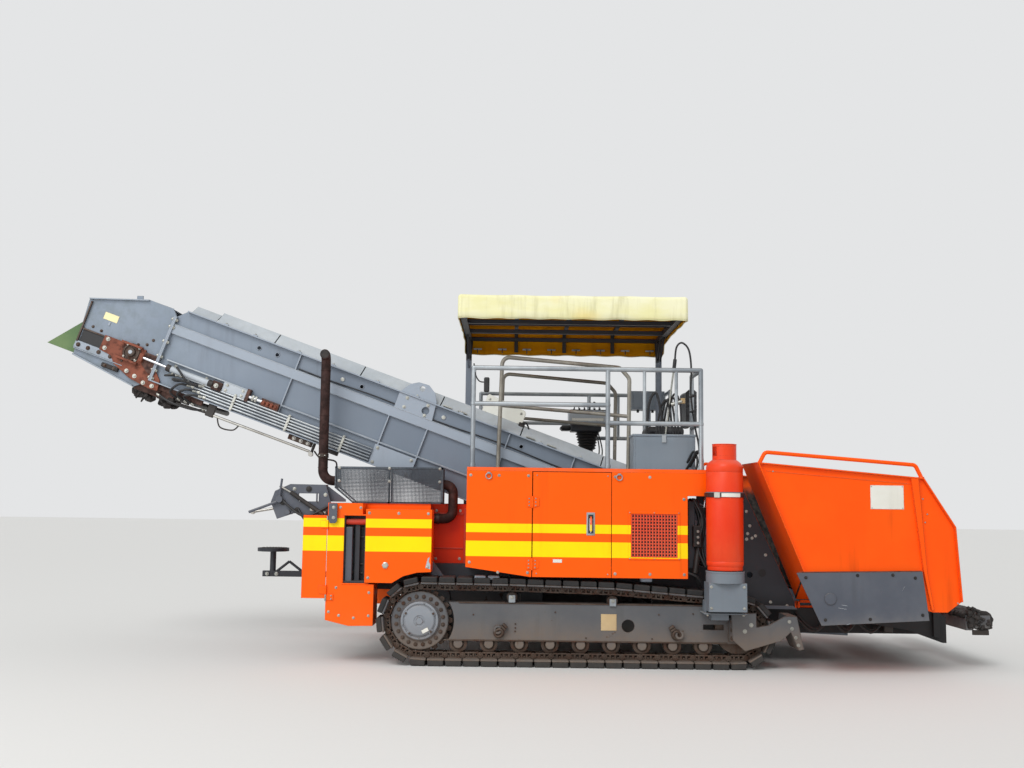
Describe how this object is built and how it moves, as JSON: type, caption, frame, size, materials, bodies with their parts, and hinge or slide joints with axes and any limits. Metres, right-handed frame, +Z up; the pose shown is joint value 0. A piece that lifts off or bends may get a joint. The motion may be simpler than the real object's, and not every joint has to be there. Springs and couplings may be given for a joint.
{
  "type": "tracked material transfer vehicle",
  "caption": "Tracked feeder that takes asphalt into a folding hopper at the front and lifts it on an inclined belt boom to the rear, with a covered operator platform.",
  "frame": {"origin": "on the ground under the middle of the machine", "axes": "+X forward to the hopper, +Y the machine's left, +Z up"},
  "size_m": [8.8163, 3.104, 3.347],
  "materials": {
    "orange_paint": "gloss orange enamel with scuffs, yellow stripes",
    "grey_paint": "satin grey enamel, worn",
    "dark_paint": "satin dark grey enamel, worn",
    "track_steel": "oiled and rusted cast steel",
    "belt_rubber": "dull black rubber",
    "cover_sheet": "pale grey sheet",
    "green_sheet": "faded green sheet",
    "galvanised": "dull galvanised steel",
    "rust_steel": "heat-rusted steel",
    "red_paint": "gloss red enamel",
    "canopy_fabric": "faded yellow tarpaulin",
    "seat_vinyl": "black seat vinyl",
    "cylinder_steel": "painted barrels and chromed rods"
  },
  "bodies": {
    "chassis": {"bottle_holder": "grey_paint", "cabinets": "grey_paint", "canopy_cover": "canopy_fabric", "canopy_frame": "dark_paint", "control_console": "dark_paint", "deck": "grey_paint", "engine_block": "dark_paint", "exhaust_pipes": "rust_steel", "gas_bottle": "red_paint", "hopper_floor": "orange_paint", "idlers": "track_steel", "inner_rails": "grey_paint", "main_frame": "dark_paint", "radiator": "dark_paint", "railings": "galvanised", "rear_housing": "orange_paint", "rear_linkage": "grey_paint", "rear_step": "dark_paint", "seat_cushions": "seat_vinyl", "seat_frame": "dark_paint", "side_bodies": "orange_paint", "side_grilles": "dark_paint", "silencer_guard": "galvanised", "sprockets": "grey_paint", "tank_boxes": "orange_paint", "track_frames": "grey_paint", "track_left": "track_steel", "track_right": "track_steel", "track_rollers": "track_steel", "track_scrapers": "grey_paint"},
    "boom": {"boom_frame": "grey_paint", "boom_head": "grey_paint", "boom_belt": "belt_rubber", "belt_drums": "track_steel", "return_rollers": "track_steel", "boom_covers": "cover_sheet", "chute_tip": "green_sheet", "belt_tensioners": "track_steel", "belt_scraper": "track_steel", "boom_pipes": "grey_paint"},
    "cylinder_barrels": {"lift_barrels": "cylinder_steel"},
    "cylinder_rods": {"lift_rods": "cylinder_steel"},
    "right_wing": {"wing_right": "orange_paint", "wing_skirt_right": "dark_paint"},
    "left_wing": {"wing_left": "orange_paint", "wing_skirt_left": "dark_paint"},
    "apron": {"front_apron": "orange_paint"},
    "push_bar": {"push_beam": "dark_paint"},
    "right_roller": {"push_roller_right": "track_steel"},
    "left_roller": {"push_roller_left": "track_steel"},
    "right_auger": {"auger_right": "track_steel"},
    "left_auger": {"auger_left": "track_steel"},
    "right_door": {"side_door_right": "orange_paint"},
    "left_door": {"side_door_left": "orange_paint"},
    "right_flap": {"rear_flap_right": "orange_paint"},
    "left_flap": {"rear_flap_left": "orange_paint"}
  },
  "joints": [
    {"name": "boom_tilt", "type": "hinge", "parent": "chassis", "child": "boom", "pos_m": [3.04311, 0, 0.39749], "axis": [0, 1, 0], "range_deg": [-1.5, 3]},
    {"name": "cylinder_swing", "type": "hinge", "parent": "chassis", "child": "cylinder_barrels", "pos_m": [0.25, 0, 0.59], "axis": [0, 1, 0], "range_deg": [-4.2, 8.41]},
    {"name": "cylinder_stroke", "type": "slide", "parent": "cylinder_barrels", "child": "cylinder_rods", "axis": [-0.527, 0, 0.8499], "range_m": [-0.0608, 0.1216]},
    {"name": "right_wing_fold", "type": "hinge", "parent": "chassis", "child": "right_wing", "pos_m": [3.2, -0.79, 0.56], "axis": [-1, 0, 0], "range_deg": [0, 35]},
    {"name": "left_wing_fold", "type": "hinge", "parent": "chassis", "child": "left_wing", "pos_m": [3.2, 0.79, 0.56], "axis": [1, 0, 0], "range_deg": [0, 35]},
    {"name": "apron_fold", "type": "hinge", "parent": "chassis", "child": "apron", "pos_m": [3.83, 0, 0.56], "axis": [0, 1, 0], "range_deg": [0, 55]},
    {"name": "push_bar_swing", "type": "hinge", "parent": "chassis", "child": "push_bar", "pos_m": [4.08, 0, 0.39], "axis": [0, 0, 1], "range_deg": [-6, 6]},
    {"name": "right_roller_spin", "type": "hinge", "parent": "push_bar", "child": "right_roller", "pos_m": [4.308, -0.5, 0.42], "axis": [0, 1, 0], "continuous": true},
    {"name": "left_roller_spin", "type": "hinge", "parent": "push_bar", "child": "left_roller", "pos_m": [4.308, 0.5, 0.42], "axis": [0, 1, 0], "continuous": true},
    {"name": "right_auger_spin", "type": "hinge", "parent": "chassis", "child": "right_auger", "pos_m": [2.99, -0.37, 0.8], "axis": [0, 1, 0], "continuous": true},
    {"name": "left_auger_spin", "type": "hinge", "parent": "chassis", "child": "left_auger", "pos_m": [2.99, 0.37, 0.8], "axis": [0, 1, 0], "continuous": true},
    {"name": "right_door_swing", "type": "hinge", "parent": "chassis", "child": "right_door", "pos_m": [0.238, -1.278, 1.2], "axis": [0, 0, -1], "range_deg": [0, 100]},
    {"name": "left_door_swing", "type": "hinge", "parent": "chassis", "child": "left_door", "pos_m": [0.238, 1.278, 1.2], "axis": [0, 0, 1], "range_deg": [0, 100]},
    {"name": "right_flap_swing", "type": "hinge", "parent": "chassis", "child": "right_flap", "pos_m": [-1.57, -1.2093, 0.9], "axis": [0, 0, 1], "range_deg": [0, 100]},
    {"name": "left_flap_swing", "type": "hinge", "parent": "chassis", "child": "left_flap", "pos_m": [-1.57, 1.2093, 0.9], "axis": [0, 0, -1], "range_deg": [0, 100]}
  ],
  "couplings": [
    {"joint": "cylinder_swing", "follows": "boom_tilt", "ratio": 2.8028},
    {"joint": "cylinder_stroke", "follows": "boom_tilt", "m_per_rad": 2.3225}
  ]
}
